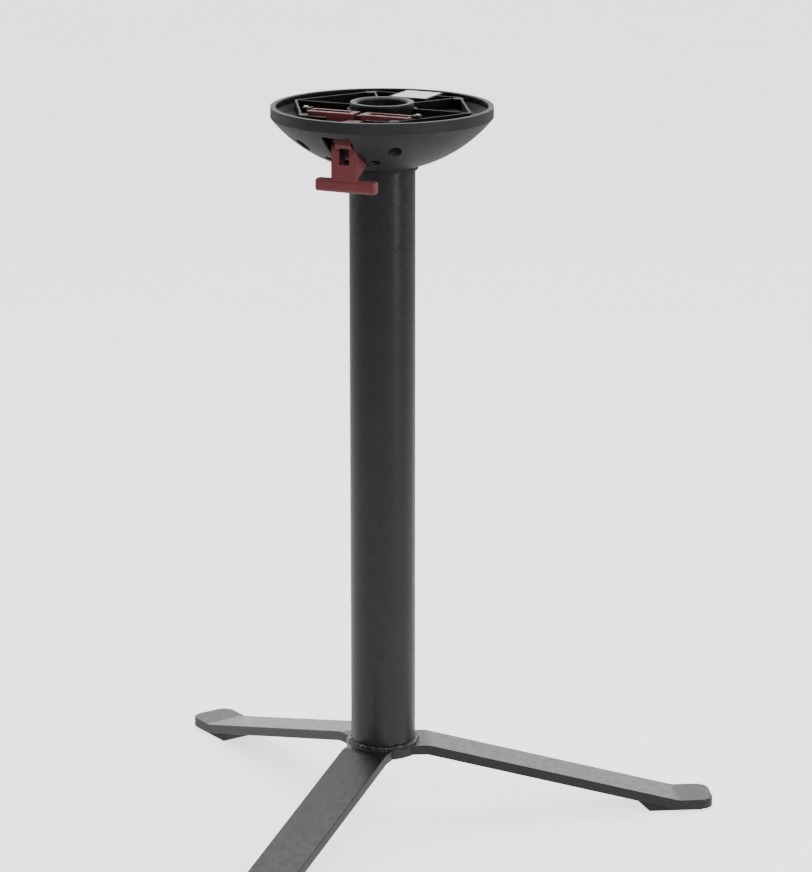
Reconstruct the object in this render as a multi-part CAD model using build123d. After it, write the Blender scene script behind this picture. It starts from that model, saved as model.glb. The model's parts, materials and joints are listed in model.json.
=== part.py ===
"""Pedestal batting tee: a welded three-legged stand with a dish head and a squeeze-release lever.

Millimetres, +Z up. The origin is on the floor, on the axis of the column.
The front leg and the release lever both point along -Y.
"""
from build123d import *
import os
from math import cos, radians, sin, sqrt, tan

# Overall sizes
RIM_HEIGHT = 853.0            # floor to the top edge of the dish rim
LEG_REACH = 396.0             # column axis to the end of each leg
LEG_ANGLES = {"leg_front": -90.0, "leg_right": 30.0, "leg_left": 150.0}

# Legs, bent from flat bar
BAR_WIDTH = 57.0
BAR_THICKNESS = 11.6
LEG_SLOPE = 14.85             # degrees below level
INNER_BEND = 52.0             # column axis to the first bend
OUTER_BEND = 353.0            # column axis to the second bend
BEND_RADIUS = 25.0            # on the inside of each bend
TIP_CORNER = 16.0
BAR_EDGE = 1.0                # rounding of the bar's long top edges
FOOT_THICKNESS = 1.2
FOOT_WIDTH = 53.0
FOOT_START = 303.0
FOOT_END = 382.0
FOOT_TOE = 15.0               # how far the foot's inner end leans

# Centre of the stand and the column
HUB_RADIUS = 43.5
COLUMN_RADIUS = 38.1
COLUMN_WALL = 3.0
COLUMN_BEAD = 3.4
LEG_BEAD = 2.0
LEG_BEAD_HALF_ANGLE = 36.0    # degrees of the hub's edge each side of a leg's centre
BEAD_BULGE = 0.62             # how far a bead's face bulges, as a share of its leg length

# Dish head, heights below the rim's top edge
RIM_RADIUS = 127.0
RIM_DEPTH = 12.5
RIM_LIP = 1.5
BOWL_RADIUS = 163.0           # sphere of the dish's outside
BOWL_CENTRE = 89.7            # height of that sphere's centre above the rim
BOWL_WALL = 3.5
NECK_RADIUS = 41.5
NECK_BOTTOM = -72.0
COLUMN_GAP = 0.5
HEAD_BELOW = -80.0            # a height below the whole head, for cuts right through

# Slot, screw wells and drain holes through the bowl
SLOT_HALF_WIDTH = 17.5
SLOT_INNER = 66.0
SLOT_OUTER = 121.0
SLOT_TOP = -14.5
SLOT_CORNER = 3.0
WELL_CIRCLE = 103.5
WELL_SPREAD = 33.0            # degrees each side of the front and the back
WELL_RADIUS = 8.0
WELL_BOSS_RADIUS = 10.75
WELL_TOP = -24.0
BOSS_MEET = -21.0             # where the shell's bosses meet the tray's
DRAIN_CIRCLE = 80.8
DRAIN_SPREAD = 19.9
DRAIN_RADIUS = 6.5

# Tray inside the rim
TRAY_RADIUS = 124.4
TRAY_WALL = 3.5
FLOOR_TOP = -12.0
FLOOR_BOTTOM = -15.0
RIB_TOP = -1.0
RIB_THICKNESS = 2.5
HEX_APOTHEM = 96.0
RING_INNER = 36.9             # upstand round the ball seat
RING_OUTER = 39.4
RING_TOP = -3.5
TRAY_BOSS_RADIUS = 6.0

# Ball seat
SEAT_RADIUS = 36.3
SEAT_TOP = 1.5
SEAT_BORE = 29.0
SEAT_SPIGOT = 34.8
SEAT_FLOOR = -21.0
TUBE_TOP = -16.0
SEAT_RING_TOP = 4.5
SPIGOT_BOTTOM = -46.0
SPIGOT_WALL = 3.0

# Flange that carries the head
FLANGE_RADIUS = 56.0
FLANGE_TOP = -44.0
FLANGE_THICKNESS = 3.0
FLANGE_CIRCLE = 48.0
FLANGE_BOSS = 6.5
FLANGE_HOLE_BOTTOM = -57.0
FLANGE_BEAD = 3.0

# Release lever
PIVOT_Y = -96.0
PIVOT_Z = -25.0
PIN_RADIUS = 2.5
RUNNING_FIT = 0.05
BARREL_RADIUS = 5.0
PLATE_HALF_WIDTH = 16.0
PLATE_TOP = -30.5
GRIP_TOP = -69.5
GRIP_HEIGHT = 15.0
GRIP_HALF_LENGTH = 37.0
PLATE_FRONT = -99.2
FINGER_TOP = -4.5
FINGER_HALF_WIDTH = 3.5
FINGER_HALF_THICKNESS = 2.5
PLATE_THICKNESS = 4.7
WINDOW_HALF_WIDTH = 6.5
WINDOW_TOP = -34.0
WINDOW_BOTTOM = -52.5
WEB_BACK = -70.5              # how far the side webs reach towards the column
WEB_THICKNESS = 3.0
WEB_CORNER = -51.5            # height of the webs' rear corner
PANEL_TOP = -36.5             # top of the panel that joins the webs' rear edges
PANEL_DEPTH = 3.0
GRIP_DEPTH = 13.0
GRIP_ROUND = 4.5
SKIRT_HALF_WIDTH = 10.2
FINGER_HOLE = (8.0, -104.0, -87.0)  # half width, front and back of the hole for the finger

# Latch bar and bolt
LATCH_HALF_LENGTH = 66.0
LATCH_FRONT = -66.0
LATCH_BACK = -45.0
LATCH_TOP = -0.5
LATCH_BOTTOM = -11.7
BOLT_RADIUS = 4.0
BOLT_Z = -6.0
BOLT_TIP = -33.8
BOLT_TAIL = -56.5
BOLT_CLEARANCE = 0.4
STEM_HALF_WIDTH = 9.0
STEM_TOP = -7.0
NOTCH_HALF_WIDTH = 5.0

# Pivot bracket under the tray
BRACKET_HALF_LENGTH = 22.0
BRACKET_HALF_WIDTH = 11.0
BRACKET_BASE = 2.0
BRACKET_INNER = 10.4          # centre to the inside of each ear
EAR_THICKNESS = 2.0
EAR_RADIUS = 5.0
BRACKET_SCREW_X = 17.5
BRACKET_SCREW_SPREAD = 5.0

# Pin, its head and the groove for its clip
PIN_HEAD_END = -14.4
PIN_HEAD_RADIUS = 4.0
PIN_SHOULDER = -12.6
PIN_END = 14.4
CLIP_START = 12.85
CLIP_END = 13.55
CLIP_RADIUS = 4.6
GROOVE_RADIUS = 2.0

# Return spring round the pin
SPRING_WIRE = 1.2
SPRING_RADIUS = 3.9
SPRING_TURNS = 2.25
SPRING_PITCH = 1.3
SPRING_LEVER_LEG = 10.2
SPRING_BRACKET_LEG = 4.6
SPRING_START = 6.2

# Clips at the ends of the latch bar
GUIDE_X = 69.6
GUIDE_Y = -53.5
GUIDE_HALF_WIDTH = 5.0
GUIDE_POST = 6.2
GUIDE_LIP = 4.0
GUIDE_TOP = 1.2
GUIDE_GAP = 0.5               # between the bar's end and each clip

# Screws: shank radius, head radius and head height; their holes are wider by the clearance
SHELL_SCREW = (2.0, 4.2, 3.0)
FLANGE_SCREW = (2.9, 5.2, 3.2)
BRACKET_SCREW = (1.7, 3.0, 2.0)
GUIDE_SCREW = (1.3, 2.4, 1.4)
SCREW_CLEARANCE = 0.1

# Label on its pad at the back of the tray
LABEL_HALF_WIDTH = 21.5
LABEL_FRONT = 70.0
LABEL_BACK = 115.0
LABEL_THICKNESS = 0.3
PAD_MARGIN = 3.0

os.makedirs("parts", exist_ok=True)
HUB_TOP = FOOT_THICKNESS + BAR_THICKNESS + (OUTER_BEND - INNER_BEND) * tan(radians(LEG_SLOPE))


def save(shape, node):
    """Write one sub-part under its node's name."""
    shape.label = node
    export_step(shape, f"parts/{node}.step")


def head(shape):
    """Lift a shape drawn from the rim's top edge to its height above the floor."""
    return Pos(0, 0, RIM_HEIGHT) * shape


def block(x0, x1, y0, y1, z0, z1):
    """A box given by its lowest and highest corners."""
    return Pos((x0 + x1) / 2, (y0 + y1) / 2, (z0 + z1) / 2) * Box(x1 - x0, y1 - y0, z1 - z0)


def rod(x, y, z0, z1, radius):
    """An upright cylinder between two heights."""
    return Pos(x, y, (z0 + z1) / 2) * Cylinder(radius, z1 - z0)


def cross_rod(x0, x1, y, z, radius):
    """A cylinder along X."""
    return Pos((x0 + x1) / 2, y, z) * Rot(0, 90, 0) * Cylinder(radius, x1 - x0)


def depth_rod(y0, y1, x, z, radius):
    """A cylinder along Y."""
    return Pos(x, (y0 + y1) / 2, z) * Rot(90, 0, 0) * Cylinder(radius, y1 - y0)


def turned(points):
    """Turn an outline of (radius, height) points about the column's axis."""
    outline = Plane.XZ * make_face(Polyline(*points, close=True))
    return revolve(outline, Axis.Z, 360)


def polar(radius, angle):
    """A point on a circle about the column's axis."""
    return radius * cos(radians(angle)), radius * sin(radians(angle))


def group(solids):
    """Separate solids kept together in one node."""
    return Compound(children=list(solids))


def hole(x, y, screw, bottom=HEAD_BELOW, top=0.0):
    """A cutter for a screw's clearance hole, right through the head unless it is given ends."""
    return rod(x, y, bottom, top, screw[0] + SCREW_CLEARANCE)


def screw_up(x, y, screw, seat, tip):
    """A screw driven upwards: its head hangs below the seat and its shank reaches the tip."""
    shank, head_radius, head_height = screw
    return rod(x, y, seat - head_height, seat, head_radius) + rod(x, y, seat, tip, shank)


def screw_down(x, y, screw, seat, tip):
    """A screw driven downwards: its head stands on the seat and its shank reaches the tip."""
    shank, head_radius, head_height = screw
    return rod(x, y, seat, seat + head_height, head_radius) + rod(x, y, tip, seat, shank)


# ---------------------------------------------------------------- stand

def leg():
    """One leg along +X: level under the column, sloping down, level again at the end."""
    slope = radians(LEG_SLOPE)
    shift = BAR_THICKNESS * tan(slope / 2)
    tip_top = FOOT_THICKNESS + BAR_THICKNESS
    outside = BEND_RADIUS + BAR_THICKNESS
    side = FilletPolyline(
        (0, HUB_TOP),
        (INNER_BEND, HUB_TOP),
        (OUTER_BEND, tip_top),
        (LEG_REACH, tip_top),
        (LEG_REACH, FOOT_THICKNESS),
        (OUTER_BEND - shift, FOOT_THICKNESS),
        (INNER_BEND - shift, HUB_TOP - BAR_THICKNESS),
        (0, HUB_TOP - BAR_THICKNESS),
        radius=[0, outside, BEND_RADIUS, 0, 0, outside, BEND_RADIUS, 0],
        close=True,
    )
    bar = extrude(Plane.XZ * make_face(side), BAR_WIDTH / 2, both=True)
    tip_edges = bar.edges().filter_by(Axis.Z).group_by(Axis.X)[-1]
    bar = fillet(tip_edges, TIP_CORNER)
    sides = bar.faces().filter_by(Axis.Y)
    long_edges = sides[0].edges() + sides[1].edges() - bar.edges().filter_by(Axis.Z)
    bar = fillet(long_edges - bar.edges().group_by(Axis.X)[0], BAR_EDGE)
    return bar - rod(0, 0, HUB_TOP - 2 * BAR_THICKNESS, HUB_TOP + BAR_THICKNESS, HUB_RADIUS)


def foot():
    """Rubber foot along +X: a thin pad that thickens to a wedge under the leg's bend."""
    slope = radians(LEG_SLOPE)
    bend = OUTER_BEND - BAR_THICKNESS * tan(slope / 2)
    outline = make_face(
        Polyline(
            (FOOT_START + FOOT_TOE, 0),
            (FOOT_END, 0),
            (FOOT_END, FOOT_THICKNESS),
            (bend, FOOT_THICKNESS),
            (FOOT_START, FOOT_THICKNESS + (bend - FOOT_START) * tan(slope)),
            close=True,
        )
    )
    return extrude(Plane.XZ * outline, FOOT_WIDTH / 2, both=True)


def bead(inner, base, size):
    """A convex fillet weld in the corner between an upright wall and a level face."""
    outline = make_face(
        [
            Line((inner, base), (inner + size, base)),
            ThreePointArc(
                (inner + size, base),
                (inner + BEAD_BULGE * size, base + BEAD_BULGE * size),
                (inner, base + size),
            ),
            Line((inner, base + size), (inner, base)),
        ]
    )
    return revolve(Plane.XZ * outline, Axis.Z, 360)


def leg_beads():
    """The butt welds between the hub disc and the three legs, above and below."""
    above = Rectangle(2 * LEG_BEAD, LEG_BEAD, align=(Align.CENTER, Align.MIN))
    under = Rectangle(2 * LEG_BEAD, LEG_BEAD, align=(Align.CENTER, Align.MAX))
    sections = [
        Plane.XZ * (Pos(HUB_RADIUS, HUB_TOP) * above),
        Plane.XZ * (Pos(HUB_RADIUS, HUB_TOP - BAR_THICKNESS) * under),
    ]
    beads = []
    for angle in LEG_ANGLES.values():
        for section in sections:
            arc = revolve(section, Axis.Z, 2 * LEG_BEAD_HALF_ANGLE)
            arc = fillet(arc.edges().filter_by(GeomType.CIRCLE), 0.3 * LEG_BEAD)
            beads.append(Rot(0, 0, angle - LEG_BEAD_HALF_ANGLE) * arc)
    return group(beads)


def build_stand():
    hub = rod(0, 0, HUB_TOP - BAR_THICKNESS, HUB_TOP, HUB_RADIUS)
    save(fillet(hub.edges().filter_by(GeomType.CIRCLE), BAR_EDGE), "hub_disc")
    for node, angle in LEG_ANGLES.items():
        save(Rot(0, 0, angle) * leg(), node)
        save(Rot(0, 0, angle) * foot(), node.replace("leg", "foot"))
    save(bead(COLUMN_RADIUS, HUB_TOP, COLUMN_BEAD), "column_weld")
    save(leg_beads(), "leg_welds")
    tube_top = RIM_HEIGHT + TUBE_TOP
    tube = rod(0, 0, HUB_TOP, tube_top, COLUMN_RADIUS)
    tube -= rod(0, 0, HUB_TOP - 1, tube_top + 1, COLUMN_RADIUS - COLUMN_WALL)
    save(tube, "column_tube")


# ---------------------------------------------------------------- dish shell and flange

def bowl_height(radius, sphere):
    """Height of a sphere of the bowl at a distance from the axis, from the rim's top edge."""
    return BOWL_CENTRE - sqrt(sphere**2 - radius**2)


def bowl_reach(height, sphere):
    """Radius at which a sphere of the bowl has a given height."""
    return sqrt(sphere**2 - (BOWL_CENTRE - height) ** 2)


def bowl_arc(sphere, start, end):
    """Arc of the bowl's section between two radii."""
    middle = (start + end) / 2
    return ThreePointArc(
        (start, bowl_height(start, sphere)),
        (middle, bowl_height(middle, sphere)),
        (end, bowl_height(end, sphere)),
    )


def well_places():
    """Centres of the four screw wells: two either side of the lever, two at the back."""
    angles = [side + sign * WELL_SPREAD for side in (-90, 90) for sign in (-1, 1)]
    return [polar(WELL_CIRCLE, angle) for angle in angles]


def flange_places():
    return [polar(FLANGE_CIRCLE, angle) for angle in (45, 135, 225, 315)]


def dish_shell():
    inner_sphere = BOWL_RADIUS - BOWL_WALL
    neck_inner = COLUMN_RADIUS + COLUMN_GAP
    outer_top = bowl_reach(-RIM_DEPTH, BOWL_RADIUS)
    inner_top = bowl_reach(-RIM_DEPTH, inner_sphere)
    outline = make_face(
        [
            bowl_arc(BOWL_RADIUS, outer_top, NECK_RADIUS),
            Line((NECK_RADIUS, bowl_height(NECK_RADIUS, BOWL_RADIUS)), (NECK_RADIUS, NECK_BOTTOM)),
            Line((NECK_RADIUS, NECK_BOTTOM), (neck_inner, NECK_BOTTOM)),
            Line((neck_inner, NECK_BOTTOM), (neck_inner, bowl_height(neck_inner, inner_sphere))),
            bowl_arc(inner_sphere, neck_inner, inner_top),
            Line((inner_top, -RIM_DEPTH), (outer_top, -RIM_DEPTH)),
        ]
    )
    shell = revolve(Plane.XZ * outline, Axis.Z, 360)
    # the bosses start halfway through the bowl's wall
    middle = Pos(0, 0, BOWL_CENTRE) * Sphere(BOWL_RADIUS - BOWL_WALL / 2)
    for x, y in well_places():
        shell += rod(x, y, HEAD_BELOW, BOSS_MEET, WELL_BOSS_RADIUS) & middle
    for x, y in flange_places():
        shell += rod(x, y, HEAD_BELOW, FLANGE_TOP - FLANGE_THICKNESS, FLANGE_BOSS) & middle
    for x, y in well_places():
        shell -= rod(x, y, HEAD_BELOW, WELL_TOP, WELL_RADIUS)
        shell -= hole(x, y, SHELL_SCREW)
    for x, y in flange_places():
        shell -= hole(x, y, FLANGE_SCREW, FLANGE_HOLE_BOTTOM)
    for side in (-1, 1):
        x, y = polar(DRAIN_CIRCLE, -90 + side * DRAIN_SPREAD)
        shell -= rod(x, y, HEAD_BELOW, 0, DRAIN_RADIUS)
    slot = block(-SLOT_HALF_WIDTH, SLOT_HALF_WIDTH, -SLOT_OUTER, -SLOT_INNER, HEAD_BELOW, SLOT_TOP)
    return shell - fillet(slot.edges().filter_by(Axis.Z), SLOT_CORNER)


def flange_screw(x, y):
    """Cap screw with a hexagon socket, through the flange into a boss of the shell."""
    screw = screw_down(x, y, FLANGE_SCREW, FLANGE_TOP, FLANGE_TOP - 11.5)
    socket = extrude(RegularPolygon(2.3, 6), 1.6)
    return screw - Pos(x, y, FLANGE_TOP + FLANGE_SCREW[2] - 0.8) * socket


def shell_screw(x, y):
    """Cross-head screw up through a well of the shell into a boss of the tray."""
    screw = screw_up(x, y, SHELL_SCREW, WELL_TOP, FLOOR_TOP - 2)
    for turn in (0, 90):
        screw -= Pos(x, y, WELL_TOP - 2.6) * Rot(0, 0, turn) * Box(4.6, 1.1, 2.0)
    return screw


def build_shell():
    save(head(dish_shell()), "dish_shell")
    flange = rod(0, 0, FLANGE_TOP - FLANGE_THICKNESS, FLANGE_TOP, FLANGE_RADIUS)
    flange -= rod(0, 0, HEAD_BELOW, 0, COLUMN_RADIUS + 0.1)
    for x, y in flange_places():
        flange -= hole(x, y, FLANGE_SCREW)
    save(head(flange), "head_flange")
    save(head(bead(COLUMN_RADIUS, FLANGE_TOP, FLANGE_BEAD)), "flange_weld")
    save(group(head(flange_screw(x, y)) for x, y in flange_places()), "flange_screws")
    save(group(head(shell_screw(x, y)) for x, y in well_places()), "shell_screws")


# ---------------------------------------------------------------- tray, rim and label

def hexagon_ring():
    """Hexagonal rib with its flats facing the legs."""
    outer = RegularPolygon(HEX_APOTHEM, 6, major_radius=False)
    inner = RegularPolygon(HEX_APOTHEM - RIB_THICKNESS, 6, major_radius=False)
    return Pos(0, 0, FLOOR_TOP) * extrude(outer - inner, RIB_TOP - FLOOR_TOP)


def radial_rib(angle):
    """Straight rib from the ring round the ball seat to the hexagon's corner."""
    corner = (HEX_APOTHEM - RIB_THICKNESS) / cos(radians(30))
    rib = block(RING_OUTER - 1, corner, -RIB_THICKNESS / 2, RIB_THICKNESS / 2, FLOOR_TOP, RIB_TOP)
    return Rot(0, 0, angle) * rib


def deck_tray():
    wall_inner = TRAY_RADIUS - TRAY_WALL
    step = bowl_reach(FLOOR_BOTTOM, BOWL_RADIUS - BOWL_WALL) - 0.4
    tray = turned(
        [
            (RING_INNER, FLOOR_BOTTOM),
            (step, FLOOR_BOTTOM),
            (step, -RIM_DEPTH),
            (TRAY_RADIUS, -RIM_DEPTH),
            (TRAY_RADIUS, -RIM_LIP),
            (wall_inner, -RIM_LIP),
            (wall_inner, FLOOR_TOP + 5),
            (wall_inner - 8, FLOOR_TOP),
            (RING_OUTER, FLOOR_TOP),
            (RING_OUTER, RING_TOP),
            (RING_INNER, RING_TOP),
        ]
    )
    tray += hexagon_ring()
    for angle in (0, 60, 120, 180):
        tray += radial_rib(angle)
    for x, y in well_places():
        tray += rod(x, y, BOSS_MEET, RIB_TOP, TRAY_BOSS_RADIUS)
    pad_edge = LABEL_HALF_WIDTH + PAD_MARGIN
    tray += block(
        -pad_edge, pad_edge, LABEL_FRONT - PAD_MARGIN, LABEL_BACK + 2, FLOOR_TOP, RIB_TOP
    )
    for x, y in well_places():
        tray -= hole(x, y, SHELL_SCREW, top=FLOOR_TOP - 1.5)
    # room at the front for the latch bar, its stem and the lever's finger
    tray -= block(-24, 24, -HEX_APOTHEM - 1, -80, FLOOR_TOP, 0)
    tray -= finger_hole()
    tray -= depth_rod(-50, -30, 0, BOLT_Z, BOLT_RADIUS + BOLT_CLEARANCE)
    for x, y in bracket_places():
        tray -= hole(x, y, BRACKET_SCREW)
    for side in (-1, 1):
        tray -= hole(side * GUIDE_X, GUIDE_Y, GUIDE_SCREW, bottom=FLOOR_TOP - 2)
    return tray


def build_tray():
    save(head(deck_tray()), "deck_tray")
    band_inner = TRAY_RADIUS + 0.1
    band = turned(
        [
            (band_inner, -RIM_DEPTH),
            (RIM_RADIUS, -RIM_DEPTH),
            (RIM_RADIUS, 0),
            (TRAY_RADIUS - TRAY_WALL, 0),
            (TRAY_RADIUS - TRAY_WALL, -RIM_LIP),
            (band_inner, -RIM_LIP),
        ]
    )
    top_edges = band.edges().filter_by(GeomType.CIRCLE).group_by(Axis.Z)[-1]
    band = fillet(top_edges, 0.6)
    save(head(band), "rim_band")
    label_top = RIB_TOP + LABEL_THICKNESS
    label = block(-LABEL_HALF_WIDTH, LABEL_HALF_WIDTH, LABEL_FRONT, LABEL_BACK, RIB_TOP, label_top)
    save(head(fillet(label.edges().filter_by(Axis.Z), 2)), "label")


# ---------------------------------------------------------------- ball seat

def build_seat():
    seat = turned(
        [
            (SEAT_SPIGOT, SPIGOT_BOTTOM),
            (SEAT_SPIGOT, TUBE_TOP),
            (SEAT_RADIUS, TUBE_TOP),
            (SEAT_RADIUS, SEAT_TOP),
            (SEAT_BORE, SEAT_TOP),
            (SEAT_BORE - 2, SEAT_FLOOR + 4),
            (SEAT_BORE - 6, SEAT_FLOOR),
            (0, SEAT_FLOOR),
            (0, SEAT_FLOOR - SPIGOT_WALL),
            (SEAT_SPIGOT - SPIGOT_WALL, SEAT_FLOOR - SPIGOT_WALL),
            (SEAT_SPIGOT - SPIGOT_WALL, SPIGOT_BOTTOM),
        ]
    )
    seat -= depth_rod(-45, -20, 0, BOLT_Z, BOLT_RADIUS + BOLT_CLEARANCE)
    save(head(seat), "ball_seat")
    ring = turned(
        [
            (SEAT_BORE, SEAT_TOP),
            (SEAT_RADIUS, SEAT_TOP),
            (SEAT_RADIUS, SEAT_RING_TOP),
            (SEAT_BORE + 2.5, SEAT_RING_TOP),
            (SEAT_BORE, SEAT_RING_TOP - 2),
        ]
    )
    ring = fillet(ring.edges().filter_by(GeomType.CIRCLE).group_by(Axis.Z)[-1], 0.7)
    save(head(ring), "seat_ring")


# ---------------------------------------------------------------- lever, latch and their hardware


def bracket_places():
    steps = [(side, step) for side in (-1, 1) for step in (-1, 1)]
    return [(side * BRACKET_SCREW_X, PIVOT_Y + step * BRACKET_SCREW_SPREAD) for side, step in steps]


def finger_hole():
    """A cutter for the hole that the lever's finger comes up through."""
    half_width, front, back = FINGER_HOLE
    return block(-half_width, half_width, front, back, -20, 0)


def pivot_bracket():
    """Steel bracket under the tray: a base plate with two ears for the pin."""
    base = block(
        -BRACKET_HALF_LENGTH,
        BRACKET_HALF_LENGTH,
        PIVOT_Y - BRACKET_HALF_WIDTH,
        PIVOT_Y + BRACKET_HALF_WIDTH,
        FLOOR_BOTTOM - BRACKET_BASE,
        FLOOR_BOTTOM,
    )
    base = fillet(base.edges().filter_by(Axis.Z), 3)
    for side in (-1, 1):
        inner = side * BRACKET_INNER
        outer = side * (BRACKET_INNER + EAR_THICKNESS)
        low, high = min(inner, outer), max(inner, outer)
        base += block(low, high, PIVOT_Y - EAR_RADIUS, PIVOT_Y + EAR_RADIUS, PIVOT_Z, FLOOR_BOTTOM - 1)
        base += cross_rod(low, high, PIVOT_Y, PIVOT_Z, EAR_RADIUS)
    base -= finger_hole()
    base -= cross_rod(-20, 20, PIVOT_Y, PIVOT_Z, PIN_RADIUS + RUNNING_FIT)
    for x, y in bracket_places():
        base -= hole(x, y, BRACKET_SCREW)
    return base


def release_lever():
    """Moulded lever: barrel and finger above, windowed plate with side webs, T grip below."""
    lever = cross_rod(-9.8, 5.2, PIVOT_Y, PIVOT_Z, BARREL_RADIUS)
    lever += block(
        -FINGER_HALF_WIDTH,
        FINGER_HALF_WIDTH,
        PIVOT_Y - FINGER_HALF_THICKNESS,
        PIVOT_Y + FINGER_HALF_THICKNESS,
        PIVOT_Z,
        FINGER_TOP,
    )
    lever += block(-9, 5.2, PLATE_FRONT, PLATE_FRONT + 6, PLATE_TOP - 1, PIVOT_Z - 2.5)
    skirt = make_face(
        Polyline(
            (PLATE_FRONT - 3.4, PIVOT_Z + 4.5),
            (PLATE_FRONT - 1.8, PIVOT_Z + 4.5),
            (PLATE_FRONT - 1.8, PLATE_TOP + 1),
            (PLATE_FRONT + 2, PLATE_TOP - 2.5),
            (PLATE_FRONT, PLATE_TOP - 4.5),
            (PLATE_FRONT - 3.4, PLATE_TOP + 1),
            close=True,
        )
    )
    lever += extrude(Plane.YZ * skirt, SKIRT_HALF_WIDTH, both=True)
    lever += block(
        -PLATE_HALF_WIDTH,
        PLATE_HALF_WIDTH,
        PLATE_FRONT,
        PLATE_FRONT + PLATE_THICKNESS,
        GRIP_TOP - 2,
        PLATE_TOP,
    )
    web = make_face(
        Polyline(
            (PLATE_FRONT + 2, PLATE_TOP),
            (PLATE_FRONT + 7, PLATE_TOP),
            (WEB_BACK, WEB_CORNER),
            (WEB_BACK, WEB_CORNER - 2.5),
            (PLATE_FRONT + 4, -66.5),
            (PLATE_FRONT + 2, -66.5),
            close=True,
        )
    )
    web_plate = extrude(Plane.YZ * web, WEB_THICKNESS / 2, both=True)
    for side in (-1, 1):
        lever += Pos(side * (PLATE_HALF_WIDTH - WEB_THICKNESS / 2), 0, 0) * web_plate
    # the panel follows the webs' rear edges below the spring's leg
    rake = (WEB_BACK - PLATE_FRONT - 7) / (PLATE_TOP - WEB_CORNER)
    panel_back = PLATE_FRONT + 7 + (PLATE_TOP - PANEL_TOP) * rake
    panel = make_face(
        Polyline(
            (panel_back - PANEL_DEPTH, PANEL_TOP),
            (panel_back, PANEL_TOP),
            (WEB_BACK, WEB_CORNER),
            (WEB_BACK - PANEL_DEPTH, WEB_CORNER),
            close=True,
        )
    )
    lever += extrude(Plane.YZ * panel, PLATE_HALF_WIDTH - WEB_THICKNESS / 2, both=True)
    window = block(
        -WINDOW_HALF_WIDTH,
        WINDOW_HALF_WIDTH,
        PLATE_FRONT - 1,
        PLATE_FRONT + PLATE_THICKNESS + 1,
        WINDOW_BOTTOM,
        WINDOW_TOP,
    )
    lever -= fillet(window.edges().filter_by(Axis.Y), 1.5)
    grip = block(
        -GRIP_HALF_LENGTH,
        GRIP_HALF_LENGTH,
        PLATE_FRONT,
        PLATE_FRONT + GRIP_DEPTH,
        GRIP_TOP - GRIP_HEIGHT,
        GRIP_TOP,
    )
    grip = fillet(grip.edges().filter_by(Axis.X), GRIP_ROUND)
    end_edges = grip.edges().group_by(Axis.X)
    grip = fillet(end_edges[0] + end_edges[-1], 3.0)
    lever += grip
    return lever - cross_rod(-20, 20, PIVOT_Y, PIVOT_Z, PIN_RADIUS + RUNNING_FIT)


def lever_spring():
    """Torsion spring round the pin: one leg bears on the lever, one under the bracket."""
    coil = Helix(pitch=SPRING_PITCH, height=SPRING_PITCH * SPRING_TURNS, radius=SPRING_RADIUS)
    lever_leg = Line(coil @ 0 - (coil % 0) * SPRING_LEVER_LEG, coil @ 0)
    bracket_leg = Line(coil @ 1, coil @ 1 + (coil % 1) * SPRING_BRACKET_LEG)
    path = Wire([lever_leg.edge(), coil.edge(), bracket_leg.edge()])
    section = Plane(origin=path @ 0, z_dir=path % 0) * Circle(SPRING_WIRE / 2)
    return sweep(section, path=path)


def latch_bar():
    """Sliding cross-bar with a stem that the lever's finger works in."""
    bar = block(-LATCH_HALF_LENGTH, LATCH_HALF_LENGTH, LATCH_FRONT, LATCH_BACK, LATCH_BOTTOM, LATCH_TOP)
    front_corners = bar.edges().filter_by(Axis.Z).group_by(Axis.Y)[0]
    bar = chamfer(front_corners, 6)
    bar = fillet(bar.edges().group_by(Axis.Z)[-1], 1.2)
    stem = block(
        -STEM_HALF_WIDTH, STEM_HALF_WIDTH, PIVOT_Y - 9, LATCH_FRONT + 2, LATCH_BOTTOM, STEM_TOP
    )
    bar += fillet(stem.edges().filter_by(Axis.Z).group_by(Axis.Y)[0], 3)
    side_play = FINGER_HALF_WIDTH + 0.8
    push_play = FINGER_HALF_THICKNESS + 1.1
    bar -= block(-side_play, side_play, PIVOT_Y - push_play, PIVOT_Y + push_play, -20, 0)
    notch = NOTCH_HALF_WIDTH
    bar -= block(-notch, notch, LATCH_FRONT - 1, LATCH_BACK + 1, LATCH_TOP - 2.5, 0)
    bar -= block(-notch, notch, LATCH_FRONT - 1, LATCH_FRONT + 6, LATCH_TOP - 7.5, 0)
    for side in (-1, 1):
        middle = side * (NOTCH_HALF_WIDTH + LATCH_HALF_LENGTH) / 2
        recess = block(middle - 24, middle + 24, LATCH_FRONT + 5, LATCH_BACK - 5, LATCH_TOP - 3.5, 0)
        bar -= fillet(recess.edges().filter_by(Axis.Z), 2)
    return bar - depth_rod(BOLT_TAIL - 0.5, -40, 0, BOLT_Z, BOLT_RADIUS + RUNNING_FIT)


def latch_guide(side):
    """Clip at one end of the latch bar: a block beside the bar and a lip over it."""
    inner = LATCH_HALF_LENGTH + GUIDE_GAP
    front = GUIDE_Y - GUIDE_HALF_WIDTH
    back = GUIDE_Y + GUIDE_HALF_WIDTH
    post = block(inner, inner + GUIDE_POST, front, back, FLOOR_TOP, GUIDE_TOP)
    lip = block(inner - GUIDE_LIP, inner + 1, front, back, LATCH_TOP + 0.3, GUIDE_TOP)
    clip = post + lip - hole(GUIDE_X, GUIDE_Y, GUIDE_SCREW, top=GUIDE_TOP + 1)
    return clip if side > 0 else mirror(clip, Plane.YZ)


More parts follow.
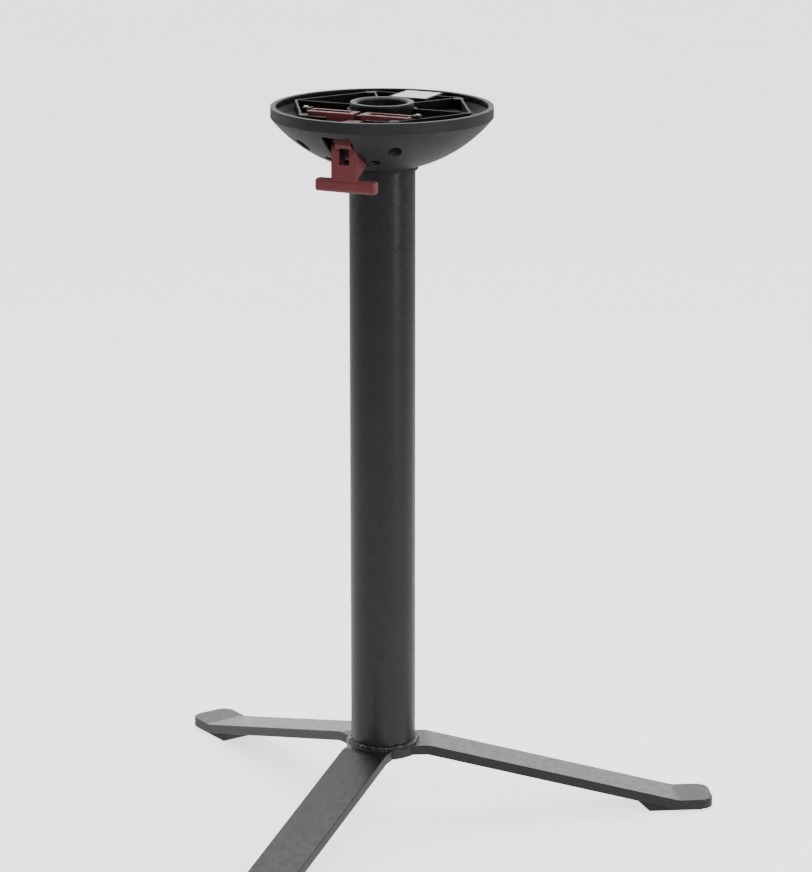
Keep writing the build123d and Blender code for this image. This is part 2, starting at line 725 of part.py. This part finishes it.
def lever_pin():
    """Headed pin through the bracket's ears and the lever, grooved for its clip."""
    pin = cross_rod(PIN_SHOULDER, PIN_END, PIVOT_Y, PIVOT_Z, PIN_RADIUS)
    pin += cross_rod(PIN_HEAD_END, PIN_SHOULDER, PIVOT_Y, PIVOT_Z, PIN_HEAD_RADIUS)
    groove = cross_rod(CLIP_START - 0.05, CLIP_END + 0.05, PIVOT_Y, PIVOT_Z, PIN_HEAD_RADIUS)
    groove -= cross_rod(CLIP_START - 0.05, CLIP_END + 0.05, PIVOT_Y, PIVOT_Z, GROOVE_RADIUS)
    return pin - groove


def pin_clip():
    """Open retaining ring in the pin's groove."""
    clip = cross_rod(CLIP_START, CLIP_END, PIVOT_Y, PIVOT_Z, CLIP_RADIUS)
    clip -= cross_rod(CLIP_START - 1, CLIP_END + 1, PIVOT_Y, PIVOT_Z, GROOVE_RADIUS + RUNNING_FIT)
    mouth = 0.8 * GROOVE_RADIUS
    return clip - block(
        CLIP_START - 1, CLIP_END + 1, PIVOT_Y - 6, PIVOT_Y, PIVOT_Z - mouth, PIVOT_Z + mouth
    )


def build_release():
    save(head(pivot_bracket()), "pivot_bracket")
    seat = FLOOR_BOTTOM - BRACKET_BASE
    tip = FLOOR_TOP - 0.2
    bracket_screws = [head(screw_up(x, y, BRACKET_SCREW, seat, tip)) for x, y in bracket_places()]
    save(group(bracket_screws), "bracket_screws")
    save(head(lever_pin()), "lever_pin")
    save(head(pin_clip()), "pin_clip")
    save(head(release_lever()), "release_lever")
    # the coil's axis lies along X, with its start on the side towards the column
    place = Pos(SPRING_START, PIVOT_Y, PIVOT_Z) * Rot(0, 90, 0) * Rot(0, 0, 90)
    save(head(place * lever_spring()), "lever_spring")
    save(head(latch_bar()), "latch_bar")
    bolt = depth_rod(BOLT_TAIL, BOLT_TIP, 0, BOLT_Z, BOLT_RADIUS)
    save(head(chamfer(bolt.edges().group_by(Axis.Y)[-1], 0.8)), "latch_bolt")
    save(head(latch_guide(1)), "latch_guide_right")
    save(head(latch_guide(-1)), "latch_guide_left")
    tip = FLOOR_TOP - 1.5
    guide_screws = [
        head(screw_down(side * GUIDE_X, GUIDE_Y, GUIDE_SCREW, GUIDE_TOP, tip)) for side in (-1, 1)
    ]
    save(group(guide_screws), "guide_screws")


build_stand()
build_shell()
build_tray()
build_seat()
build_release()
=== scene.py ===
"""Looks of the pedestal batting tee: materials, weld beads, studio and camera.

Metres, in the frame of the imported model: +Z up, origin on the floor on the column's axis,
front leg and release lever towards -Y.
"""

import json
import math

import bmesh
import bpy
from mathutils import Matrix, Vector, noise


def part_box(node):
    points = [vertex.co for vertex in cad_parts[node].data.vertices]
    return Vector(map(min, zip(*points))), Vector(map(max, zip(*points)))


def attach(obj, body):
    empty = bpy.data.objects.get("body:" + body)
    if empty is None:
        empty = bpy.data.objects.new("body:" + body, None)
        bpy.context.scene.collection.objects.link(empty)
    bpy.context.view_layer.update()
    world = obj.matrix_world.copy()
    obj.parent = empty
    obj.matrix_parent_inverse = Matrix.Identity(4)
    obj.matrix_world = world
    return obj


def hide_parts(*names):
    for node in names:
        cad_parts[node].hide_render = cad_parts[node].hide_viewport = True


MM = 0.001

# Camera: where it stands and how it is turned
CAMERA_BEARING = -64.6        # degrees about +Z from +X, seen from the column
CAMERA_DISTANCE = 3.789       # level distance to the column's axis
CAMERA_HEIGHT = 1.470
CAMERA_PITCH = 14.85          # degrees below level
CAMERA_YAW = 0.41             # degrees turned to the right of the column
CAMERA_LENS = 139.2           # millimetres
CAMERA_SENSOR = 36.0          # millimetres

# Hand-laid welds
WELD_PITCH = 4.2 * MM         # between ripples
WELD_FACET = 0.35 * MM        # between rings of points along a bead
WELD_STEPS = 12               # faces across a bead
WELD_TAPER = 3 * MM           # over which the ends of a bead die out
WELD_BODY = 0.66              # height between ripples, as a share of the full rise
WELD_RIPPLE = 0.28            # extra height of a ripple
WELD_SWELL = 0.35             # slow rise and fall along the bead
WELD_LUMP = 1.2               # extra height where a run was started or stopped
WELD_LUMP_REACH = 2.6 * MM
WELD_STARTS = (-100, -39, 75) # bearings of those lumps on the column's weld
LEG_BEARINGS = (-90, 30, 150)
LEG_WELD_HALF_ANGLE = 34      # degrees to each side of a leg's middle
LEG_WELD_WIDTH = 1.9 * MM     # half the width of the bead
LEG_WELD_RISE = 1.5 * MM
LEG_WELD_SINK = 0.1 * MM      # middle of the bead below the faces it joins

# Studio
FLOOR_REACH = 14.0
FLOOR_DROP = 0.2 * MM         # of the floor below the feet
FLOOR_GLOW = 1.7              # of the floor as the camera sees it
FLOOR_NEAR = 0.85             # light that the floor gives the object, close to it
FLOOR_FAR = 0.06              # and beyond about four metres
WORLD_SEEN = 1.1              # surroundings as the camera sees them
WORLD_NEAR = 0.12             # light from the surroundings on the camera's side
WORLD_FAR = 1.1               # from behind the object, high up
WORLD_BACK = 3.2              # from behind the object, near the horizon

# Soft boxes: name, bearing from the camera in degrees, height, level distance, width,
# length, watts, and the height on the column's axis that each looks at
LIGHTS = (
    ("key_strip", 50.0, 1.5, 3.2, 0.35, 2.4, 38.0, 0.6),
    ("overhead", 180.0, 3.2, 1.2, 2.4, 2.4, 50.0, 0.3),
    ("front_fill", 6.0, 2.7, 2.6, 1.0, 1.0, 44.0, 0.85),
)

# Texture values
NOISE_RANGE = (0.3, 0.7)      # where nearly all of a noise texture's values lie
FACING_UP = (0.4, 0.95)       # a normal's Z, from not up at all to fully up
EDGE_TURN = (0.86, 0.985)     # cosine of a rounded normal's turn, on an edge and off it
OPEN_SKY = (0.25, 0.9)        # ambient occlusion, from deep in a hole to in the open

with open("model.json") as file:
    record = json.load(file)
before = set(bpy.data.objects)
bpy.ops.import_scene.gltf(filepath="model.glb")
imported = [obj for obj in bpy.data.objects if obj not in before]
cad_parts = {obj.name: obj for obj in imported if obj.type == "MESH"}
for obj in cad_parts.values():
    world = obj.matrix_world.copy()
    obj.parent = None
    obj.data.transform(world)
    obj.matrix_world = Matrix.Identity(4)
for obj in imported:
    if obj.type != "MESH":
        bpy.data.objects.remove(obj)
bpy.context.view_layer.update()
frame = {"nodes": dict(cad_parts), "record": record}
nodes = frame["nodes"]


def grey(value):
    return (value, value, value, 1.0)


# ---------------------------------------------------------------- node helpers

class Nodes:
    """Short ways to add nodes to the tree of a material or of the world."""

    def __init__(self, tree):
        self.tree = tree

    def feed(self, socket, value):
        """Link an output to the socket, or set it to a constant."""
        if isinstance(value, bpy.types.NodeSocket):
            self.tree.links.new(value, socket)
        else:
            socket.default_value = value

    def node(self, kind, links=None, **settings):
        """Add a node; links maps socket names or numbers to outputs or constants."""
        made = self.tree.nodes.new(kind)
        for key, value in settings.items():
            setattr(made, key, value)
        for socket, value in (links or {}).items():
            self.feed(made.inputs[socket], value)
        return made

    def span(self, value, low, high, to_low=0.0, to_high=1.0):
        """Map a range of a value to another range, clamped and eased."""
        links = {0: value, 1: low, 2: high, 3: to_low, 4: to_high}
        return self.node("ShaderNodeMapRange", links, interpolation_type="SMOOTHSTEP").outputs[0]

    def vector(self, operation, links):
        """A number worked out from one or two vectors."""
        return self.node("ShaderNodeVectorMath", links, operation=operation).outputs["Value"]

    def upright(self, vector):
        return self.node("ShaderNodeSeparateXYZ", {0: vector}).outputs["Z"]

    def camera_ray(self):
        return self.node("ShaderNodeLightPath").outputs["Is Camera Ray"]

    def shown(self, given, seen):
        """One number for the light on the object, another for what the camera sees."""
        links = {0: self.camera_ray(), 2: given, 3: seen}
        return self.node("ShaderNodeMix", links).outputs[0]


class Surface(Nodes):
    """A node material with its Principled shader and shared texture coordinates."""

    def __init__(self, name, rgb, roughness, **sockets):
        self.material = bpy.data.materials.new(name)
        self.material.use_nodes = True
        super().__init__(self.material.node_tree)
        self.shader = self.tree.nodes["Principled BSDF"]
        self.rgb = (*rgb, 1.0)
        self.shader.inputs["Base Color"].default_value = self.rgb
        self.shader.inputs["Roughness"].default_value = roughness
        for socket, value in sockets.items():
            self.shader.inputs[socket.replace("_", " ")].default_value = value
        self.place = self.node("ShaderNodeTexCoord").outputs["Object"]
        self.normal = self.node("ShaderNodeNewGeometry").outputs["Normal"]

    def link(self, output, socket):
        self.tree.links.new(output, self.shader.inputs[socket])

    def noise(self, scale, detail=2.0, rough=0.5, stretch=None):
        """Noise with its scale in features per metre, stretched along the axes if asked."""
        place = self.place
        if stretch:
            place = self.node("ShaderNodeMapping", {"Vector": place, "Scale": stretch}).outputs[0]
        links = {"Vector": place, "Scale": scale, "Detail": detail, "Roughness": rough}
        return self.node("ShaderNodeTexNoise", links).outputs["Fac"]

    def vary(self, texture, low, high):
        """Spread a noise over a range of values."""
        return self.span(texture, *NOISE_RANGE, low, high)

    def cells(self, scale):
        links = {"Vector": self.place, "Scale": scale}
        return self.node("ShaderNodeTexVoronoi", links).outputs["Distance"]

    def math(self, operation, a, b):
        return self.node("ShaderNodeMath", {0: a, 1: b}, operation=operation).outputs[0]

    def mix(self, factor, a, b, blend="MIX"):
        made = self.node("ShaderNodeMix", data_type="RGBA", blend_type=blend)
        for number, value in ((0, factor), (6, a), (7, b)):
            self.feed(made.inputs[number], value)
        return made.outputs[2]

    def times(self, a, b):
        """Two colours, or a colour and a shade, multiplied."""
        return self.mix(1.0, a, b, "MULTIPLY")

    def upward(self):
        """1 where a face looks up, 0 where it stands or looks down."""
        return self.span(self.upright(self.normal), *FACING_UP)

    def edges(self, radius):
        """1 on edges sharper than the radius, from how far a rounded normal turns."""
        rounded = self.node("ShaderNodeBevel", {"Radius": radius}, samples=6).outputs[0]
        turn = self.vector("DOT_PRODUCT", {0: rounded, 1: self.normal})
        return self.span(turn, *EDGE_TURN, 1.0, 0.0)

    def hollow_shade(self, reach, darkest):
        """Painted shade from ambient occlusion: 1 in the open, falling to the darkest value deep
        in holes and corners.
        """
        links = {"Distance": reach}
        open_sky = self.node("ShaderNodeAmbientOcclusion", links, samples=8).outputs["AO"]
        return self.span(open_sky, *OPEN_SKY, darkest, 1.0)

    def bump(self, *layers, radius=None):
        """Bumps, each (height, depth in metres), over edges rounded to the radius if asked."""
        normal = None
        if radius:
            normal = self.node("ShaderNodeBevel", {"Radius": radius}, samples=6).outputs[0]
        for height, depth in layers:
            links = {"Height": height, "Distance": depth, "Strength": 1.0}
            if normal:
                links["Normal"] = normal
            normal = self.node("ShaderNodeBump", links).outputs[0]
        self.link(normal, "Normal")


# ---------------------------------------------------------------- materials

def powder_coat(name, rgb, roughness=0.30):
    """Satin powder coat over steel: orange peel, fine grain, dust on top and rubbed edges."""
    s = Surface(name, rgb, roughness, IOR=1.48)
    tone = s.vary(s.noise(26, 4, 0.6), 0.88, 1.12)
    speck = s.span(s.noise(1800, 2), 0.35, 0.65, 0.94, 1.06)
    colour = s.times(s.rgb, s.times(tone, speck))
    dust = s.math("MULTIPLY", s.upward(), s.span(s.noise(75, 6, 0.7), 0.42, 0.75, 0.0, 0.04))
    colour = s.mix(dust, colour, grey(0.16))
    worn = s.span(s.noise(160, 5, 0.7), 0.48, 0.66, 0.0, 0.22)
    colour = s.mix(s.math("MULTIPLY", s.edges(1.4 * MM), worn), colour, grey(0.10))
    near_floor = s.span(s.upright(s.place), 0.0, 30 * MM, 1.0, 0.0)
    scuffs = s.span(s.noise(240, 3, 0.6, (1.0, 0.18, 1.0)), 0.62, 0.70, 0.0, 0.2)
    colour = s.mix(s.math("MULTIPLY", near_floor, scuffs), colour, grey(0.14))
    s.link(colour, "Base Color")
    s.link(s.vary(s.noise(120, 4, 0.6), roughness - 0.05, roughness + 0.07), "Roughness")
    s.bump((s.noise(420, 2, 0.5), 0.02 * MM), (s.noise(2400, 2), 0.006 * MM))
    return s.material


def moulding(name, rgb, roughness, grain=0.03 * MM, scuff=0.1, edge=0.3, dust=0.0, gloss=0.5):
    """Injection-moulded plastic with spark-eroded grain and faint handling marks, lighter edges
    that are partly wear and partly painted highlight, upward faces lightened by dust and a painted
    sheen when asked, and painted shade in holes and corners.
    """
    s = Surface(name, rgb, roughness, IOR=1.45, Specular_IOR_Level=gloss)
    colour = s.times(s.rgb, s.vary(s.noise(40, 4, 0.6), 0.9, 1.1))
    lighter = tuple(min(1.0, 0.08 + 1.5 * c) for c in rgb) + (1.0,)
    marks = s.span(s.noise(130, 6, 0.75), 0.52, 0.78, 0.0, scuff)
    colour = s.mix(marks, colour, lighter)
    # lighter edges: partly rubbing wear, partly a painted highlight along the edges
    lighter_edges = s.span(s.noise(300, 4), 0.4, 0.65, 0.4 * edge, edge)
    colour = s.mix(s.math("MULTIPLY", s.edges(0.7 * MM), lighter_edges), colour, lighter)
    # upward faces lightened: partly dust, partly a painted sheen as if lit from above
    if dust:
        dust_and_sheen = s.vary(s.noise(90, 5, 0.7), 0.4 * dust, dust)
        colour = s.mix(s.math("MULTIPLY", s.upward(), dust_and_sheen), colour, grey(0.42))
    # painted shade: the base colour is darkened deep in holes and corners
    open_sky = s.hollow_shade(24 * MM, 0.15)
    s.link(s.times(colour, open_sky), "Base Color")
    rough = s.vary(s.noise(200, 5, 0.65), roughness - 0.06, roughness + 0.08)
    s.link(s.math("MAXIMUM", rough, s.span(open_sky, 0.2, 0.8, 0.9, roughness)), "Roughness")
    s.bump((s.noise(60, 2), 0.06 * MM), (s.cells(1900), grain), radius=0.6 * MM)
    return s.material


def rubber(name, rgb, roughness):
    """Matt rubber with a fine leathery skin and pale dust in it."""
    s = Surface(name, rgb, roughness)
    dust = s.span(s.noise(180, 6, 0.7), 0.5, 0.75, 0.0, 0.25)
    s.link(s.mix(dust, s.rgb, grey(0.12)), "Base Color")
    s.link(s.vary(s.noise(500, 3), roughness - 0.08, roughness + 0.05), "Roughness")
    s.bump((s.cells(900), 0.05 * MM), (s.noise(3000, 2), 0.02 * MM), radius=0.8 * MM)
    return s.material


def zinc(name):
    """Zinc-plated steel: faint blue and straw tints, drawn lines and dull patches."""
    s = Surface(name, (0.58, 0.58, 0.57), 0.34, Metallic=1.0)
    tint = s.mix(s.noise(240, 3), (0.52, 0.55, 0.60, 1.0), (0.62, 0.59, 0.50, 1.0))
    dull = s.span(s.noise(700, 4, 0.7), 0.55, 0.75, 0.0, 0.5)
    s.link(s.mix(dull, tint, grey(0.33)), "Base Color")
    s.link(s.vary(s.noise(900, 4, 0.7, (0.1, 1.0, 1.0)), 0.26, 0.48), "Roughness")
    s.bump((s.noise(2600, 2, 0.5, (0.1, 1.0, 1.0)), 0.012 * MM), radius=0.25 * MM)
    return s.material


def paper(name):
    """Blank white label: faint fibres and a slightly yellowed edge."""
    s = Surface(name, (0.86, 0.86, 0.85), 0.55)
    fibres = s.span(s.noise(1600, 4, 0.7, (1.0, 0.2, 1.0)), 0.35, 0.7, 0.0, 0.10)
    colour = s.mix(fibres, s.rgb, (0.74, 0.74, 0.72, 1.0))
    edge = s.math("MULTIPLY", s.edges(2.0 * MM), 0.4)
    s.link(s.mix(edge, colour, (0.66, 0.64, 0.58, 1.0)), "Base Color")
    s.link(s.vary(s.noise(300, 3), 0.48, 0.62), "Roughness")
    s.bump((s.noise(90, 2), 0.1 * MM), (s.noise(1500, 3), 0.01 * MM), radius=0.1 * MM)
    return s.material


def oxide(name):
    """Black-oxide steel: blue-black, oily patches, bright where edges are rubbed."""
    s = Surface(name, (0.016, 0.016, 0.018), 0.38, Metallic=0.6, IOR=1.8)
    patch = s.span(s.noise(220, 4, 0.65), 0.4, 0.7, 0.0, 0.5)
    colour = s.mix(patch, s.rgb, (0.030, 0.029, 0.030, 1.0))
    lighter_edges = s.math("MULTIPLY", s.edges(0.5 * MM), s.span(s.noise(500, 4), 0.4, 0.6, 0.0, 0.5))
    s.link(s.mix(lighter_edges, colour, grey(0.12)), "Base Color")
    s.link(s.vary(s.noise(300, 4, 0.6), 0.30, 0.50), "Roughness")
    s.bump((s.noise(1400, 3), 0.015 * MM), radius=0.4 * MM)
    return s.material


MATERIALS = {
    "frame_coat": powder_coat("frame_coat", (0.0115, 0.0115, 0.012)),
    # weld_coat is a little lighter than frame_coat: a painted highlight that stands in for glints
    # on the welds
    "weld_coat": powder_coat("weld_coat", (0.014, 0.014, 0.0145)),
    "foot_rubber": rubber("foot_rubber", (0.010, 0.010, 0.011), 0.72),
    "head_plastic": moulding("head_plastic", (0.022, 0.022, 0.0225), 0.46, gloss=0.3),
    "tray_plastic": moulding(
        "tray_plastic", (0.006, 0.006, 0.0065), 0.48,
        grain=0.015 * MM, scuff=0.05, edge=0.15, gloss=0.15,
    ),
    "rim_trim": moulding(
        "rim_trim", (0.026, 0.026, 0.0265), 0.48,
        grain=0.02 * MM, edge=0.12, gloss=0.25,
    ),
    "lever_plastic": moulding(
        "lever_plastic", (0.175, 0.040, 0.046), 0.42,
        grain=0.02 * MM, dust=0.12, gloss=0.35,
    ),
    "seat_rubber": rubber("seat_rubber", (0.004, 0.004, 0.0045), 0.5),
    "seat_plastic": moulding(
        "seat_plastic", (0.006, 0.006, 0.0065), 0.40,
        grain=0.015 * MM, scuff=0.05, edge=0.2, gloss=0.2,
    ),
    "zinc_steel": zinc("zinc_steel"),
    "black_steel": oxide("black_steel"),
    "label_paper": paper("label_paper"),
}


def dress(piece, slot):
    piece.data.materials.clear()
    piece.data.materials.append(MATERIALS[slot])


for subpart in frame["record"]["subparts"]:
    dress(nodes[subpart["node"]], subpart["material_slot"])


# ---------------------------------------------------------------- weld beads

def ripple(run, across, seed, lumps):
    """Height of a hand-laid bead along its run: overlapping crescents, wandering a little."""
    wander = 0.9 * noise.noise(Vector((run * 90, 0.0, seed)))
    step = run / WELD_PITCH + wander - 0.55 * across * across
    crest = (1.0 - step % 1.0) ** 0.6
    swell = WELD_SWELL * noise.noise(Vector((run * 160, 4.0, seed)))
    lump = sum(math.exp(-(((run - place) / WELD_LUMP_REACH) ** 2)) for place in lumps)
    return WELD_BODY + WELD_RIPPLE * crest + swell + WELD_LUMP * lump


def laid_bead(mesh, start, sweep, section, seed, lumps=()):
    """Add one bead along an arc about the column; section gives (radius, height)."""
    reach = section(0.5, 1.0)[0]
    length = abs(sweep) * reach
    count = max(24, round(length / WELD_FACET))
    whole = abs(sweep) > 2 * math.pi - 0.001
    rings = []
    for i in range(count if whole else count + 1):
        turn = start + sweep * i / count
        run = reach * (turn - start)
        ends = 1.0 if whole else min(1.0, run / WELD_TAPER, (length - run) / WELD_TAPER)
        ring = []
        for j in range(WELD_STEPS + 1):
            share = j / WELD_STEPS
            lift = ripple(run, 2 * share - 1, seed, lumps) * math.sqrt(max(ends, 0.02))
            radius, height = section(share, lift)
            ring.append(mesh.verts.new((radius * math.cos(turn), radius * math.sin(turn), height)))
        rings.append(ring)
    pairs = list(zip(rings, rings[1:]))
    if whole:
        pairs.append((rings[-1], rings[0]))
    for a, b in pairs:
        for j in range(WELD_STEPS):
            mesh.faces.new((a[j], a[j + 1], b[j + 1], b[j]))
        mesh.faces.new((a[-1], a[0], b[0], b[-1]))
    if not whole:
        mesh.faces.new(rings[0])
        mesh.faces.new(rings[-1])


def weld_piece(name, node, beads):
    """A mesh of hand-laid beads that stands for a plain CAD weld."""
    mesh = bmesh.new()
    for bead in beads:
        laid_bead(mesh, *bead)
    bmesh.ops.recalc_face_normals(mesh, faces=mesh.faces)
    for face in mesh.faces:
        face.smooth = True
    data = bpy.data.meshes.new(name)
    mesh.to_mesh(data)
    mesh.free()
    piece = bpy.data.objects.new(name, data)
    bpy.context.scene.collection.objects.link(piece)
    dress(piece, "weld_coat")
    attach(piece, "stand")
    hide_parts(node)


def corner_section(wall, floor, size):
    """Fillet weld between a wall of that radius and a level face."""
    def section(share, lift):
        turn = math.radians(-14 + 118 * share)
        body = math.sin(math.pi * share) ** 0.5
        bulge = size * (0.86 + body * (0.42 * lift - 0.30))
        return wall + bulge * math.cos(turn) * 0.98, floor + bulge * math.sin(turn) * 0.98
    return section


def crown_section(middle, face, width, rise):
    """Butt weld that stands proud of a level face, upwards or downwards."""
    def section(share, lift):
        turn = math.radians(-15 + 210 * share)
        return middle + width * math.cos(turn), face + rise * math.sin(turn) * lift
    return section


def node_radius(name):
    """Radius of a round CAD node about the column's axis."""
    low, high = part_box(name)
    return (high[0] - low[0]) / 2


def build_welds():
    low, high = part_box("column_weld")
    wall = node_radius("column_tube")
    corner = corner_section(wall, low[2], 1.3 * (high[0] - wall))
    reach = corner(0.5, 1.0)[0]
    lumps = [reach * math.radians(bearing + 180) for bearing in WELD_STARTS]
    weld_piece("column_weld_bead", "column_weld", [(-math.pi, 2 * math.pi, corner, 1.7, lumps)])
    low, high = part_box("hub_disc")
    top = crown_section(high[0], high[2] - LEG_WELD_SINK, LEG_WELD_WIDTH, LEG_WELD_RISE)
    under = crown_section(high[0], low[2] + LEG_WELD_SINK, LEG_WELD_WIDTH, -LEG_WELD_RISE)
    half = math.radians(LEG_WELD_HALF_ANGLE)
    beads = []
    for number, bearing in enumerate(LEG_BEARINGS):
        start = math.radians(bearing) - half
        beads.append((start, 2 * half, top, 3.3 + number))
        beads.append((start, 2 * half, under, 8.1 + number))
    weld_piece("leg_weld_beads", "leg_welds", beads)


build_welds()


# ---------------------------------------------------------------- studio and camera

def area_light(name, bearing, height, distance, width, length, power, aim):
    """A soft box that stands off the object and looks at a point on its axis."""
    lamp = bpy.data.lights.new(name, "AREA")
    lamp.shape = "RECTANGLE"
    lamp.size = width
    lamp.size_y = length
    lamp.energy = power
    made = bpy.data.objects.new(name, lamp)
    turn = math.radians(CAMERA_BEARING + bearing)
    made.location = (distance * math.cos(turn), distance * math.sin(turn), height)
    look = Vector((0, 0, aim)) - made.location
    made.rotation_euler = look.to_track_quat("-Z", "Y").to_euler()
    bpy.context.scene.collection.objects.link(made)


def build_world():
    """Pale surroundings that light the object most from behind it and low down."""
    world = bpy.data.worlds.new("studio")
    bpy.context.scene.world = world
    world.use_nodes = True
    t = Nodes(world.node_tree)
    place = t.node("ShaderNodeTexCoord").outputs["Generated"]
    turn = math.radians(CAMERA_BEARING)
    behind = (-math.cos(turn), -math.sin(turn), 0.0)
    away = t.vector("DOT_PRODUCT", {0: place, 1: behind})
    far = t.span(t.upright(place), 0.05, 0.55, WORLD_BACK, WORLD_FAR)
    light = t.span(away, -0.5, 0.7, WORLD_NEAR, far)
    ground = t.tree.nodes["Background"]
    t.feed(ground.inputs["Strength"], t.shown(light, WORLD_SEEN))
    t.feed(ground.inputs["Color"], grey(1.0))


def build_floor():
    """A pale floor that fades into the surroundings and lights the object from below."""
    mesh = bpy.data.meshes.new("floor")
    turns = ((-1, -1), (1, -1), (1, 1), (-1, 1))
    corners = [(FLOOR_REACH * x, FLOOR_REACH * y, 0) for x, y in turns]
    mesh.from_pydata(corners, [], [(0, 1, 2, 3)])
    floor = bpy.data.objects.new("floor", mesh)
    floor.location.z = -FLOOR_DROP
    bpy.context.scene.collection.objects.link(floor)
    s = Surface("floor_paint", (0.88, 0.88, 0.88), 0.7)
    pale = s.mix(s.vary(s.noise(3, 3), 0.0, 1.0), grey(0.86), grey(0.90))
    s.link(s.mix(s.camera_ray(), grey(0.25), pale), "Base Color")
    s.shader.inputs["Emission Color"].default_value = grey(1.0)
    from_column = s.vector("LENGTH", {0: s.place})
    light = s.span(from_column, 0.7, 4.2, FLOOR_NEAR, FLOOR_FAR)
    s.link(s.shown(light, FLOOR_GLOW), "Emission Strength")
    mesh.materials.append(s.material)


def build_camera():
    lens = bpy.data.cameras.new("camera")
    lens.sensor_width = CAMERA_SENSOR
    lens.lens = CAMERA_LENS
    lens.clip_end = 100.0
    camera = bpy.data.objects.new("camera", lens)
    bearing = math.radians(CAMERA_BEARING)
    x = CAMERA_DISTANCE * math.cos(bearing)
    y = CAMERA_DISTANCE * math.sin(bearing)
    camera.location = (x, y, CAMERA_HEIGHT)
    # a camera at no rotation looks down, with +Y up in its picture
    camera.rotation_euler = (
        math.radians(90.0 - CAMERA_PITCH),
        0.0,
        math.radians(CAMERA_BEARING + 90.0 - CAMERA_YAW),
    )
    bpy.context.scene.collection.objects.link(camera)
    bpy.context.scene.camera = camera


build_world()
build_floor()
for light in LIGHTS:
    area_light(*light)
build_camera()
